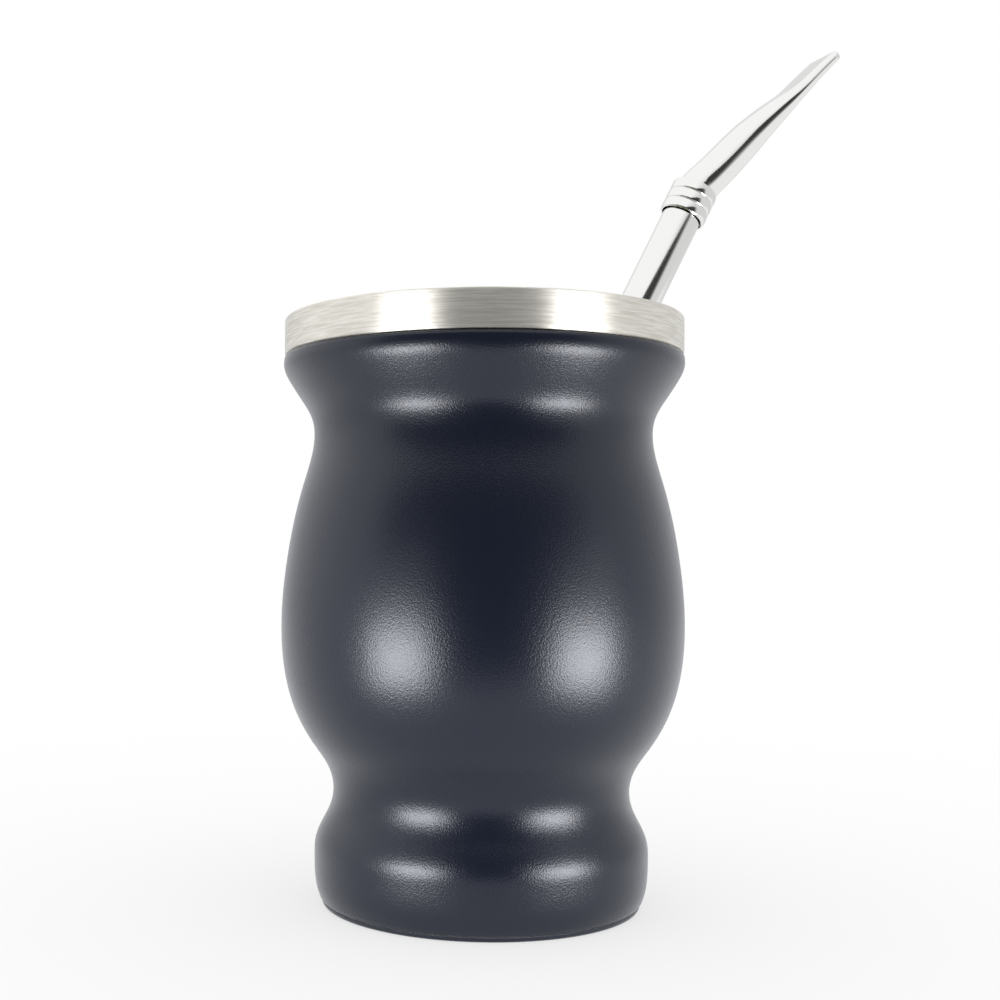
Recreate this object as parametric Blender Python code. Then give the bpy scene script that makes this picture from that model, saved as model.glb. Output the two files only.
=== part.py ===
# Steel mate cup of gourd shape with its straw, the bombilla, and the drink in it.
# Metres, +Z up. The origin is the centre of the base, on the surface the cup stands on.
# The cup is turned about Z. The straw leans on the rim at the back right and is bent at its collar.

import math

import bmesh
import bpy
import numpy as np
from mathutils import Matrix, Vector

# Gap between pieces that touch on the real object
GAP = 0.0003

# Fineness of the facets
SEGMENTS = 40
STRAW_SIDES = 20
STEPS_PER_SPAN = 2
EDGE_STEPS = 2
MERGE_DISTANCE = 0.000001
SHARP_ANGLE = math.radians(35)

# Outer body, as (height, radius) at its low edge, foot, waist, belly, neck and flared lip
SEAM_TOP = 0.0012
COAT_TOP = 0.10935
BODY_STATIONS = (
    (SEAM_TOP, 0.03220),
    (0.0032, 0.03290),
    (0.0064, 0.03338),
    (0.0096, 0.03347),
    (0.0126, 0.03331),
    (0.0154, 0.03233),
    (0.0186, 0.03068),
    (0.0227, 0.02972),
    (0.0270, 0.03059),
    (0.0325, 0.03411),
    (0.0405, 0.03814),
    (0.0530, 0.04029),
    (0.0690, 0.03924),
    (0.0837, 0.03611),
    (0.0888, 0.03462),
    (0.0933, 0.03389),
    (0.0970, 0.03433),
    (0.1010, 0.03654),
    (0.1045, 0.03879),
    (0.1076, 0.04005),
    (COAT_TOP, 0.03990),
)

# Base plate under the seam
SEAM = 0.0003
BASE_EDGE = 0.0007
BASE_SHRINK = 0.0003

# Bare steel liner: a wide band above the coat, a rounded lip, then the inner wall and the floor
RIM_TOP = 0.1168
BAND_RADIUS = 0.0399
LINER_WALL = 0.0009
MOUTH_RADIUS = 0.0372
LIP_OUTER_EDGE = 0.0006
LIP_INNER_EDGE = 0.0010
LINER_STATIONS = (
    (RIM_TOP - LIP_INNER_EDGE, MOUTH_RADIUS),
    (0.1088, 0.0368),
    (0.1025, 0.0342),
    (0.0935, 0.0306),
    (0.0825, 0.0311),
    (0.0625, 0.0322),
    (0.0445, 0.0312),
    (0.0330, 0.0285),
    (0.0270, 0.0263),
    (0.0225, 0.0240),
    (0.0175, 0.0194),
    (0.0153, 0.0120),
    (0.0150, 0.0),
)

# Straw: the point where its axis passes the rim, and how it leans
STRAW_AT_RIM = Vector((0.02946, 0.01391, 0.1160))
STRAW_LEAN = math.radians(27.69)
STRAW_HEADING = math.radians(21.85)
BEND_TWIST = math.radians(-22.2)
TUBE_RADIUS = 0.0041
TUBE_BORE = 0.00365
TUBE_LOW_END = -0.1088
TUBE_HIGH_END = 0.0336

# Collar of three rings round the joint of tube and mouthpiece, as distances along the straw
COLLAR_LOW = 0.0294
COLLAR_HIGH = 0.0364
COLLAR_RADIUS = 0.00495
COLLAR_BORE = 0.00445
COLLAR_RINGS = 3
GROOVE_DEPTH = 0.00025
GROOVE_WIDTH = 0.0005

# Mouthpiece: a round tube bent in one plane and pressed flat towards its tip.
# Its middle line as (distance along the tube, distance aside), with the thickness there
MOUTH_STATIONS = (
    (TUBE_HIGH_END + GAP, 0.0, 0.0081),
    (0.0360, 0.00010, 0.0081),
    (0.0378, 0.00057, 0.0081),
    (0.0407, 0.00160, 0.0079),
    (0.0516, 0.00492, 0.007),
    (0.0561, 0.00637, 0.00585),
    (0.0603, 0.00785, 0.0046),
    (0.0644, 0.00932, 0.0032),
    (0.0706, 0.01122, 0.0024),
    (0.0752, 0.01277, 0.0021),
)
MOUTH_WALL = 0.00045
PRESS_TWIST = math.radians(20)
TIP_ROUNDING = 0.00075

# Contents: the bed of leaf slopes from a dry mound at the left down under the infusion.
# Its height depends on the distance from a point outside the cup on the mound's side
INFUSION_LEVEL = 0.1035
MOUND_TOP = 0.1095
POOL_FLOOR = 0.0935
MOUND_CENTRE_X = -0.055
SLOPE_FOOT = 0.071
SLOPE_LENGTH = 0.042
WALL_CLEARANCE = 0.0006
LEAF_RELIEF = 0.00045
BED_RINGS = 11
BED_NECK_ROWS = 4
BED_SIDE_ROWS = 6
BED_SIDE_GROWTH = 1.6
BED_FLOOR = 0.0162
BED_SEED = 11
INFUSION_ROWS = 6
INFUSION_CLEARANCE = 0.0011
WEDGE_LOW = 0.0885
BORDER_TURNS = 8
BLOCK_LOW = 0.0500
BLOCK_SIZE = 0.0900
BLOCK_CELLS = 14


def clear_scene():
    """Start from an empty scene."""
    for old in list(bpy.data.objects):
        bpy.data.objects.remove(old, do_unlink=True)


def finish(name, colour, roughness, metallic=0.0):
    """A Principled material; the colour is linear."""
    material = bpy.data.materials.new(name)
    material.use_nodes = True
    shader = material.node_tree.nodes["Principled BSDF"]
    shader.inputs["Base Color"].default_value = (*colour, 1.0)
    shader.inputs["Roughness"].default_value = roughness
    shader.inputs["Metallic"].default_value = metallic
    return material


def spline(stations):
    """Natural cubic spline through the stations, measured along the chords of their first two values."""
    knots = np.array(stations, dtype=float)
    chords = np.linalg.norm(np.diff(knots[:, :2], axis=0), axis=1)
    size = len(knots)
    system = np.eye(size)
    right = np.zeros_like(knots)
    for i in range(1, size - 1):
        before, after = chords[i - 1], chords[i]
        system[i, i - 1:i + 2] = before, 2 * (before + after), after
        right[i] = 6 * ((knots[i + 1] - knots[i]) / after - (knots[i] - knots[i - 1]) / before)
    bend = np.linalg.solve(system, right)
    result = []
    for i in range(size - 1):
        for gone in np.arange(STEPS_PER_SPAN) / STEPS_PER_SPAN:
            left = 1.0 - gone
            pull = (left ** 3 - left) * bend[i] + (gone ** 3 - gone) * bend[i + 1]
            result.append(left * knots[i] + gone * knots[i + 1] + pull * chords[i] ** 2 / 6)
    result.append(knots[-1])
    return [tuple(float(value) for value in point) for point in result]


def offset(outline, distance):
    """Move an outline of (height, radius) points sideways; plus is outwards or down."""
    points = np.array(outline)
    along = np.gradient(points, axis=0)
    along /= np.linalg.norm(along, axis=1)[:, None]
    moved = points + distance * np.stack([along[:, 1], -along[:, 0]], axis=1)
    return [(float(height), max(float(radius), 0.0)) for height, radius in moved]


def rounding(centre, radius, start, end):
    """Points of an edge rounding about a centre in (height, radius); angles from outwards to up."""
    result = []
    for step in range(EDGE_STEPS + 1):
        angle = start + (end - start) * step / EDGE_STEPS
        height = centre[0] + radius * math.sin(angle)
        result.append((height, centre[1] + radius * math.cos(angle)))
    return result


def finish_mesh(name, mesh_data, material):
    """Turn a bmesh into a named object with smooth round faces and sharp edges."""
    bmesh.ops.remove_doubles(mesh_data, verts=mesh_data.verts, dist=MERGE_DISTANCE)
    bmesh.ops.recalc_face_normals(mesh_data, faces=mesh_data.faces)
    mesh = bpy.data.meshes.new(name)
    mesh_data.to_mesh(mesh)
    mesh_data.free()
    mesh.materials.append(material)
    mesh.shade_smooth()
    mesh.set_sharp_from_angle(angle=SHARP_ANGLE)
    thing = bpy.data.objects.new(name, mesh)
    bpy.context.scene.collection.objects.link(thing)
    return thing


def turned(name, outline, material, closed=False, sides=SEGMENTS):
    """Spin an outline of (height, radius) points about Z. A closed outline gives a ring."""
    shape = bmesh.new()
    verts = [shape.verts.new((radius, 0.0, height)) for height, radius in outline]
    edges = [shape.edges.new(pair) for pair in zip(verts, verts[1:])]
    if closed:
        edges.append(shape.edges.new((verts[-1], verts[0])))
    bmesh.ops.spin(shape, geom=verts + edges, cent=(0, 0, 0), axis=(0, 0, 1),
                   angle=2 * math.pi, steps=sides)
    return finish_mesh(name, shape, material)


def straw_matrix():
    """Frame of the straw: Z along the tube, X aside in the plane of the bend."""
    along = Vector((math.sin(STRAW_LEAN) * math.cos(STRAW_HEADING),
                    math.sin(STRAW_LEAN) * math.sin(STRAW_HEADING),
                    math.cos(STRAW_LEAN)))
    flat = Vector((math.cos(STRAW_HEADING), math.sin(STRAW_HEADING), 0.0))
    aside = (flat - along * flat.dot(along)).normalized()
    aside = Matrix.Rotation(BEND_TWIST, 3, along) @ aside
    frame = Matrix((aside, along.cross(aside), along)).transposed().to_4x4()
    return Matrix.Translation(STRAW_AT_RIM) @ frame


def liner_inside():
    """The liner's inner wall from the mouth down to the middle of the floor."""
    return spline(LINER_STATIONS)


def wall_radius(height):
    """Radius that keeps the contents clear of the liner's inner wall at a height."""
    heights, radii = zip(*reversed(offset(liner_inside(), -WALL_CLEARANCE)))
    return float(np.interp(height, heights, radii))


def make_shell(coat):
    """Coated outer body from the seam to the edge of the coat, solid to the liner."""
    outer = spline(BODY_STATIONS)
    inner = offset(liner_inside(), LINER_WALL + GAP)
    inner = [point for point in inner if point[0] < COAT_TOP - GAP]
    inner.insert(0, (COAT_TOP, inner[0][1]))
    inner[-1] = (inner[-1][0], 0.0)
    outline = [(SEAM_TOP, 0.0)] + outer + inner
    return turned("shell", outline, coat)


def make_base_plate(coat):
    """Flat plate that closes the foot; the seam above it shows as a thin dark line."""
    top = SEAM_TOP - SEAM
    edge = BODY_STATIONS[0][1] - BASE_SHRINK
    outline = [(0.0, 0.0)]
    outline += rounding((BASE_EDGE, edge - BASE_EDGE), BASE_EDGE, -math.pi / 2, 0.0)
    outline += [(top, edge), (top, 0.0)]
    return turned("base_plate", outline, coat)


def make_liner(steel):
    """Bare steel: rim band over the coat, lip, inner wall and floor in one piece."""
    inside = liner_inside()
    outside = [point for point in offset(inside, LINER_WALL) if point[0] < COAT_TOP - GAP]
    outside[-1] = (outside[-1][0], 0.0)
    ledge = COAT_TOP + GAP
    band = [(ledge, outside[0][1]), (ledge, BAND_RADIUS)]
    band += rounding((RIM_TOP - LIP_OUTER_EDGE, BAND_RADIUS - LIP_OUTER_EDGE),
                     LIP_OUTER_EDGE, 0.0, math.pi / 2)
    band += rounding((RIM_TOP - LIP_INNER_EDGE, MOUTH_RADIUS + LIP_INNER_EDGE),
                     LIP_INNER_EDGE, math.pi / 2, math.pi)
    outline = list(reversed(outside)) + band + inside[1:]
    return turned("liner", outline, steel)


def make_tube(steel):
    """Straight lower tube of the straw, open at both ends."""
    outline = [(TUBE_LOW_END, TUBE_BORE), (TUBE_LOW_END, TUBE_RADIUS),
               (TUBE_HIGH_END, TUBE_RADIUS), (TUBE_HIGH_END, TUBE_BORE)]
    tube = turned("bombilla_tube", outline, steel, closed=True, sides=STRAW_SIDES)
    tube.matrix_world = straw_matrix()
    return tube


def make_collar(steel):
    """Sleeve of three rings with a groove between each pair."""
    pitch = (COLLAR_HIGH - COLLAR_LOW) / COLLAR_RINGS
    soft = GROOVE_WIDTH / 2
    outline = [(COLLAR_HIGH, COLLAR_BORE), (COLLAR_LOW, COLLAR_BORE)]
    for ring in range(COLLAR_RINGS):
        low = COLLAR_LOW + ring * pitch
        outline.append((low, COLLAR_RADIUS - GROOVE_DEPTH))
        outline.append((low + soft, COLLAR_RADIUS))
        outline.append((low + pitch - soft, COLLAR_RADIUS))
    outline.append((COLLAR_HIGH, COLLAR_RADIUS - GROOVE_DEPTH))
    collar = turned("bombilla_collar", outline, steel, closed=True, sides=STRAW_SIDES)
    collar.matrix_world = straw_matrix()
    return collar


def pressed_ring(centre, tangent, thickness, width):
    """Section of a tube pressed flat: a slot shape, turned a little from the plane of the bend."""
    twist = Matrix.Rotation(PRESS_TWIST, 3, tangent)
    side = twist @ Vector((tangent.z, 0.0, -tangent.x))
    wide_way = twist @ Vector((0.0, 1.0, 0.0))
    ring = []
    for step in range(STRAW_SIDES):
        angle = 2 * math.pi * (step + 0.5) / STRAW_SIDES
        end = math.copysign((width - thickness) / 2, math.sin(angle))
        across = end + math.sin(angle) * thickness / 2
        ring.append(centre + side * (math.cos(angle) * thickness / 2) + wide_way * across)
    return ring


def make_mouthpiece(steel):
    """Bent tube pressed flat to a thin tip, open through from the collar to the slot."""
    line = spline(MOUTH_STATIONS)
    centres = [Vector((aside, 0.0, along)) for along, aside, _ in line]
    girth = math.pi * MOUTH_STATIONS[0][2]
    wall = 2 * MOUTH_WALL
    outer, inner = [], []
    for row, centre in enumerate(centres):
        ahead = centres[min(row + 1, len(centres) - 1)]
        behind = centres[max(row - 1, 0)]
        tangent = (ahead - behind).normalized() if row else Vector((0, 0, 1))
        thick = line[row][2]
        wide = (girth - math.pi * thick) / 2 + thick
        outer.append(pressed_ring(centre, tangent, thick, wide))
        inner.append(pressed_ring(centre, tangent, thick - wall, wide - wall))
    lip = pressed_ring(centre + tangent * TIP_ROUNDING, tangent,
                       thick - MOUTH_WALL, wide - MOUTH_WALL)
    rows = outer + [lip] + list(reversed(inner))
    shape = bmesh.new()
    loops = [[shape.verts.new(point) for point in ring] for ring in rows]
    for ring, following in zip(loops, loops[1:] + loops[:1]):
        for i in range(STRAW_SIDES):
            j = (i + 1) % STRAW_SIDES
            shape.faces.new((ring[i], ring[j], following[j], following[i]))
    mouthpiece = finish_mesh("bombilla_mouthpiece", shape, steel)
    mouthpiece.matrix_world = straw_matrix()
    return mouthpiece


def bed_height(x, y):
    """Smooth height of the leaf bed: a mound at low x that runs down to the pool's floor."""
    reach = math.hypot(x - MOUND_CENTRE_X, y)
    share = min(max((SLOPE_FOOT - reach) / SLOPE_LENGTH, 0.0), 1.0)
    rise = share * share * (3 - 2 * share)
    return POOL_FLOOR + (MOUND_TOP - POOL_FLOOR) * rise


def bed_border(angle):
    """Radius and height where the smooth bed meets the liner in one direction."""
    radius = wall_radius(INFUSION_LEVEL)
    for _ in range(BORDER_TURNS):
        height = bed_height(radius * math.cos(angle), radius * math.sin(angle))
        radius = wall_radius(height)
    return radius, height


def straw_cutter(clearance):
    """Cylinder round the tube, from just under its low end to above the rim, to cut with."""
    low = TUBE_LOW_END - clearance
    outline = [(low, 0.0), (low, TUBE_RADIUS + clearance),
               (COLLAR_LOW, TUBE_RADIUS + clearance), (COLLAR_LOW, 0.0)]
    cutter = turned("straw_cutter", outline, bpy.data.materials[0], sides=STRAW_SIDES)
    cutter.matrix_world = straw_matrix()
    return cutter


def cut_away(thing, cutter):
    """Take the cutter's volume out of a piece, then remove the cutter."""
    modifier = thing.modifiers.new("cut", "BOOLEAN")
    modifier.operation = "DIFFERENCE"
    modifier.solver = "EXACT"
    modifier.object = cutter
    bpy.context.view_layer.objects.active = thing
    bpy.ops.object.modifier_apply(modifier=modifier.name)
    bpy.data.objects.remove(cutter, do_unlink=True)


def make_yerba(leaf):
    """Bed of cut leaf up to its uneven surface, cut round the straw."""
    rng = np.random.default_rng(BED_SEED)
    shape = bmesh.new()
    angles = [2 * math.pi * i / SEGMENTS for i in range(SEGMENTS)]
    border = [bed_border(angle) for angle in angles]
    middle = shape.verts.new((0, 0, bed_height(0.0, 0.0)))
    rows = []
    for ring in range(1, BED_RINGS + 1):
        row = []
        for angle, (radius, _) in zip(angles, border):
            x = radius * math.cos(angle) * ring / BED_RINGS
            y = radius * math.sin(angle) * ring / BED_RINGS
            bump = LEAF_RELIEF * rng.uniform(-1, 1) if ring < BED_RINGS else 0.0
            row.append(shape.verts.new((x, y, bed_height(x, y) + bump)))
        rows.append(row)
    neck = POOL_FLOOR - GAP
    for level in range(1, BED_NECK_ROWS + BED_SIDE_ROWS + 1):
        row = []
        for angle, (_, height) in zip(angles, border):
            if level <= BED_NECK_ROWS:
                z = height + (neck - height) * level / BED_NECK_ROWS
            else:
                share = (level - BED_NECK_ROWS) / BED_SIDE_ROWS
                z = neck + (BED_FLOOR - neck) * share ** BED_SIDE_GROWTH
            radius = wall_radius(z)
            row.append(shape.verts.new((radius * math.cos(angle), radius * math.sin(angle), z)))
        rows.append(row)
    for i in range(SEGMENTS):
        j = (i + 1) % SEGMENTS
        shape.faces.new((middle, rows[0][i], rows[0][j]))
        for row, below in zip(rows, rows[1:]):
            shape.faces.new((row[i], below[i], below[j], row[j]))
    shape.faces.new(list(reversed(rows[-1])))
    yerba = finish_mesh("yerba", shape, leaf)
    cut_away(yerba, straw_cutter(GAP))
    return yerba


def bed_cutter():
    """Block to cut the infusion with: its top is the smooth bed, raised clear of the relief."""
    bpy.ops.mesh.primitive_grid_add(x_subdivisions=BLOCK_CELLS, y_subdivisions=BLOCK_CELLS,
                                    size=BLOCK_SIZE)
    block = bpy.context.object
    shape = bmesh.new()
    shape.from_mesh(block.data)
    bpy.data.objects.remove(block, do_unlink=True)
    low = bmesh.ops.extrude_face_region(shape, geom=shape.faces[:])["geom"]
    sunk = {item for item in low if isinstance(item, bmesh.types.BMVert)}
    for vert in shape.verts:
        top = bed_height(vert.co.x, vert.co.y) + INFUSION_CLEARANCE
        vert.co.z = BLOCK_LOW if vert in sunk else top
    return finish_mesh("bed_cutter", shape, bpy.data.materials[0])


def make_infusion(liquid):
    """The drink: a wedge between its level, the liner and the sloping bed, cut round the straw."""
    outline = [(WEDGE_LOW, 0.0)]
    for row in range(INFUSION_ROWS + 1):
        height = WEDGE_LOW + (INFUSION_LEVEL - WEDGE_LOW) * row / INFUSION_ROWS
        outline.append((height, wall_radius(height)))
    outline.append((INFUSION_LEVEL, 0.0))
    infusion = turned("infusion", outline, liquid)
    cut_away(infusion, bed_cutter())
    cut_away(infusion, straw_cutter(GAP))
    return infusion


def main():
    clear_scene()
    coat = finish("powder_coat", (0.020, 0.025, 0.040), 0.45)
    brushed = finish("brushed_steel", (0.58, 0.57, 0.54), 0.35, 1.0)
    polished = finish("polished_steel", (0.66, 0.66, 0.65), 0.15, 1.0)
    leaf = finish("cut_leaf", (0.120, 0.130, 0.035), 0.85)
    liquid = finish("mate_infusion", (0.110, 0.100, 0.022), 0.08)
    make_shell(coat)
    make_base_plate(coat)
    make_liner(brushed)
    make_tube(polished)
    make_collar(polished)
    make_mouthpiece(polished)
    make_yerba(leaf)
    make_infusion(liquid)


main()
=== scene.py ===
# %% [markdown]
# # A steel mate cup with its straw and its drink
# The cup is a double-walled steel tumbler in the shape of a gourd. Its outside is powder coated in a
# navy so dark that it is nearly black, and a band of bare brushed steel shows above the coat at the rim.
# A bent metal straw, the bombilla, stands in the wet leaf and leans on the rim.
# The imported model comes first, because most pieces below stand in for one of its parts and hide it. All
# lengths are metres,
# +Z is up, and the origin is the centre of the base.

# %% Load the imported model
import math

import bmesh
import bpy
import numpy as np
from mathutils import Matrix, Vector, noise


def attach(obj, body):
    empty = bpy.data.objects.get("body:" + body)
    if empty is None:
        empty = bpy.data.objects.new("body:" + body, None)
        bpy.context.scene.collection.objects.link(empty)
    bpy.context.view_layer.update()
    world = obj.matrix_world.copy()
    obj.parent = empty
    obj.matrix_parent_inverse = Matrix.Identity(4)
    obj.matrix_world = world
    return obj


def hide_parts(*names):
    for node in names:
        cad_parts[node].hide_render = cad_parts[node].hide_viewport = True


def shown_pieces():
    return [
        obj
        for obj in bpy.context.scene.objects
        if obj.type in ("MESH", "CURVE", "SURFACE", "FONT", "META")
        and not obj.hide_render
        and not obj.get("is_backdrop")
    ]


MM = 0.001

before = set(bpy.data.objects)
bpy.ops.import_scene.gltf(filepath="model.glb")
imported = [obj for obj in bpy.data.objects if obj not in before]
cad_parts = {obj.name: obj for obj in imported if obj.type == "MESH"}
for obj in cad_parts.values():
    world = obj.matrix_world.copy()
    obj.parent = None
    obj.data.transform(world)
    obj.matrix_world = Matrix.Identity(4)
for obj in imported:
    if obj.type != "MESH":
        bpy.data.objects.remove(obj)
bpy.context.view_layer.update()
print("packed nodes:", sorted(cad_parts))

# %% [markdown]
# ## The camera
# The view was worked out from the ellipses of the rim, the band and the base: the lens stands 29 cm in
# front of the cup, at the height of its belly's upper half, and looks almost level. The picture is a crop
# from a wider one, so a small shift of the sensor frames it instead of a turn, which would tilt the cup.

# %% Camera
CAMERA_PLACE = Vector((0.0, -0.2871, 0.07045))
CAMERA_YAW = -0.0681
CAMERA_PITCH = -0.0058
CAMERA_ROLL = 0.0052
CAMERA_LENS = 50.97
CAMERA_SENSOR = 36.0
CAMERA_SHIFT = (0.115, 0.060)
CAMERA_NEAR = 0.01


def set_camera():
    ahead = Vector((math.sin(CAMERA_YAW) * math.cos(CAMERA_PITCH),
                    math.cos(CAMERA_YAW) * math.cos(CAMERA_PITCH),
                    math.sin(CAMERA_PITCH)))
    level = ahead.cross(Vector((0, 0, 1))).normalized()
    right = Matrix.Rotation(-CAMERA_ROLL, 3, ahead) @ level
    up = right.cross(ahead)
    turn = Matrix((right, up, -ahead)).transposed().to_4x4()
    camera = bpy.data.objects.new("camera", bpy.data.cameras.new("camera"))
    bpy.context.scene.collection.objects.link(camera)
    camera.matrix_world = Matrix.Translation(CAMERA_PLACE) @ turn
    camera.data.lens = CAMERA_LENS
    camera.data.sensor_width = CAMERA_SENSOR
    camera.data.shift_x, camera.data.shift_y = CAMERA_SHIFT
    camera.data.clip_start = CAMERA_NEAR
    bpy.context.scene.camera = camera


set_camera()
bpy.context.scene.view_settings.view_transform = "Standard"
print("camera at", tuple(round(value, 4) for value in CAMERA_PLACE))

# %% [markdown]
# ## Ways of making shapes
# Nearly everything here is round, so most pieces are turned: half of a section is drawn edge by edge with
# extrude, then spun about the Z axis as on a lathe. The sections are smooth curves through a few measured
# heights and radii, as a metal spinner's template would be. A natural cubic spline gives such a curve.

# %% Selecting and drawing
MERGE = 0.001 * MM
SIDES = 144
EDGE_ANGLE = math.radians(40)


def pick_nothing():
    """Leave edit mode and deselect everything, because an operator acts on all that is selected."""
    if bpy.context.object and bpy.context.object.mode != "OBJECT":
        bpy.ops.object.mode_set(mode="OBJECT")
    bpy.ops.object.select_all(action="DESELECT")


def pick(piece):
    """Make one piece the only selected and active one."""
    pick_nothing()
    piece.select_set(True)
    bpy.context.view_layer.objects.active = piece


def spline(stations, steps):
    """Natural cubic spline through the stations, measured along the chords of their first two values."""
    knots = np.array(stations, dtype=float)
    chords = np.linalg.norm(np.diff(knots[:, :2], axis=0), axis=1)
    size = len(knots)
    system = np.eye(size)
    right = np.zeros_like(knots)
    for i in range(1, size - 1):
        before, after = chords[i - 1], chords[i]
        system[i, i - 1:i + 2] = before, 2 * (before + after), after
        right[i] = 6 * ((knots[i + 1] - knots[i]) / after - (knots[i] - knots[i - 1]) / before)
    bend = np.linalg.solve(system, right)
    result = []
    for i in range(size - 1):
        for gone in np.arange(steps) / steps:
            left = 1.0 - gone
            pull = (left ** 3 - left) * bend[i] + (gone ** 3 - gone) * bend[i + 1]
            result.append(left * knots[i] + gone * knots[i + 1] + pull * chords[i] ** 2 / 6)
    result.append(knots[-1])
    return [tuple(float(value) for value in point) for point in result]


def offset(outline, distance):
    """Move an outline of (height, radius) points sideways; plus is outwards or down."""
    points = np.array(outline)
    along = np.gradient(points, axis=0)
    along /= np.linalg.norm(along, axis=1)[:, None]
    moved = points + distance * np.stack([along[:, 1], -along[:, 0]], axis=1)
    return [(float(height), max(float(radius), 0.0)) for height, radius in moved]


def rounding(height, radius, size, start, end, steps=6):
    """Points of an edge rounding about a centre; angles in degrees from outwards (0) to up (90)."""
    angles = np.radians(np.linspace(start, end, steps + 1))
    return [(height + size * math.sin(angle), radius + size * math.cos(angle)) for angle in angles]


# %% [markdown]
# ## The lathe
# Turning starts from one point. It is extruded along the outline and the line is spun round the axis. Every
# turned piece gets a UV map round that axis, so that a brushed finish can follow it.

# %% Turning
def turn(name, outline, sides=SIDES, about=None):
    """Draw the outline of (height, radius) points by extruding a point, then spin it about Z."""
    pick_nothing()
    bpy.ops.mesh.primitive_plane_add(size=MM)
    piece = bpy.context.object
    piece.name = piece.data.name = name
    bpy.ops.object.mode_set(mode="EDIT")
    bpy.ops.mesh.select_all(action="SELECT")
    bpy.ops.mesh.merge(type="CENTER")
    height, radius = outline[0]
    bpy.ops.transform.translate(value=(radius, 0, height))
    for next_height, next_radius in outline[1:]:
        step = (next_radius - radius, 0, next_height - height)
        bpy.ops.mesh.extrude_region_move(TRANSFORM_OT_translate={"value": step})
        height, radius = next_height, next_radius
    bpy.ops.mesh.select_all(action="SELECT")
    bpy.ops.mesh.spin(steps=sides, angle=2 * math.pi, center=(0, 0, 0), axis=(0, 0, 1))
    bpy.ops.mesh.select_all(action="SELECT")
    bpy.ops.mesh.remove_doubles(threshold=MERGE)
    bpy.ops.mesh.normals_make_consistent(inside=False)
    bpy.ops.object.mode_set(mode="OBJECT")
    bpy.ops.object.shade_smooth_by_angle(angle=EDGE_ANGLE)
    wrap_map(piece)
    if about is not None:
        piece.data.transform(about)
    return piece


def wrap_map(piece):
    """A UV map for grain that follows the turning: U once round the axis, V the height in metres."""
    mesh = piece.data
    layer = mesh.uv_layers.new(name="turning")
    co = np.empty(len(mesh.vertices) * 3)
    mesh.vertices.foreach_get("co", co)
    co = co.reshape(-1, 3)
    corner = np.empty(len(mesh.loops), dtype=int)
    mesh.loops.foreach_get("vertex_index", corner)
    angle = np.arctan2(co[:, 1], co[:, 0])[corner] / (2 * math.pi)
    size = np.empty(len(mesh.polygons), dtype=int)
    mesh.polygons.foreach_get("loop_total", size)
    face = np.repeat(np.arange(len(size)), size)
    middle = np.empty(len(mesh.polygons) * 3)
    mesh.polygons.foreach_get("center", middle)
    middle = middle.reshape(-1, 3)
    centre = np.arctan2(middle[:, 1], middle[:, 0])[face] / (2 * math.pi)
    on_axis = np.hypot(co[:, 0], co[:, 1])[corner] < MERGE * 10
    angle = np.where(on_axis, centre, centre + (angle - centre + 0.5) % 1.0 - 0.5)
    layer.data.foreach_set("uv", np.stack([angle, co[:, 2][corner]], axis=1).ravel())


def report(piece):
    low, high = np.array(piece.bound_box)[0], np.array(piece.bound_box)[6]
    span = " x ".join(f"{value / MM:.1f}" for value in high - low)
    print(f"{piece.name}: {span} mm, {len(piece.data.polygons)} faces")


def dress(piece, node):
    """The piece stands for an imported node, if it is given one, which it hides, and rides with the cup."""
    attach(piece, "root")
    if node:
        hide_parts(node)
    report(piece)
    return piece


# %% [markdown]
# ## The coated body
# The real body is a steel tube pressed out by water pressure in a mould: foot, waist, belly, neck and
# flared lip in one sweep, then powder coated. The section passes through its measured radii. At the top
# the coat ends in a soft edge under the bare band, and at the bottom a fine seam parts it from the base.

# %% Body and base
SEAM_TOP = 1.2 * MM
COAT_TOP = 109.35 * MM
COAT_EDGE = 0.35 * MM
SEAM_EDGE = 0.25 * MM
GAP = 0.3 * MM
BODY_STATIONS = (
    (SEAM_TOP, 32.20 * MM),
    (3.2 * MM, 32.90 * MM),
    (6.4 * MM, 33.38 * MM),
    (9.6 * MM, 33.47 * MM),
    (12.6 * MM, 33.31 * MM),
    (15.4 * MM, 32.33 * MM),
    (18.6 * MM, 30.68 * MM),
    (22.7 * MM, 29.72 * MM),
    (27.0 * MM, 30.59 * MM),
    (32.5 * MM, 34.11 * MM),
    (40.5 * MM, 38.14 * MM),
    (53.0 * MM, 40.29 * MM),
    (69.0 * MM, 39.24 * MM),
    (83.7 * MM, 36.11 * MM),
    (88.8 * MM, 34.62 * MM),
    (93.3 * MM, 33.89 * MM),
    (97.0 * MM, 34.33 * MM),
    (101.0 * MM, 36.54 * MM),
    (104.5 * MM, 38.79 * MM),
    (107.6 * MM, 40.05 * MM),
    (COAT_TOP, 39.90 * MM),
)
RIM_TOP = 116.8 * MM
MOUTH_RADIUS = 37.2 * MM
LIP_INNER_EDGE = 1.0 * MM
LINER_STATIONS = (
    (RIM_TOP - LIP_INNER_EDGE, MOUTH_RADIUS),
    (108.8 * MM, 36.8 * MM),
    (102.5 * MM, 34.2 * MM),
    (93.5 * MM, 30.6 * MM),
    (82.5 * MM, 31.1 * MM),
    (62.5 * MM, 32.2 * MM),
    (44.5 * MM, 31.2 * MM),
    (33.0 * MM, 28.5 * MM),
    (27.0 * MM, 26.3 * MM),
    (22.5 * MM, 24.0 * MM),
    (17.5 * MM, 19.4 * MM),
    (15.3 * MM, 12.0 * MM),
    (15.0 * MM, 0.0),
)
LINER_WALL = 0.9 * MM
BODY_STEPS = 8
LINER_STEPS = 5


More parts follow.
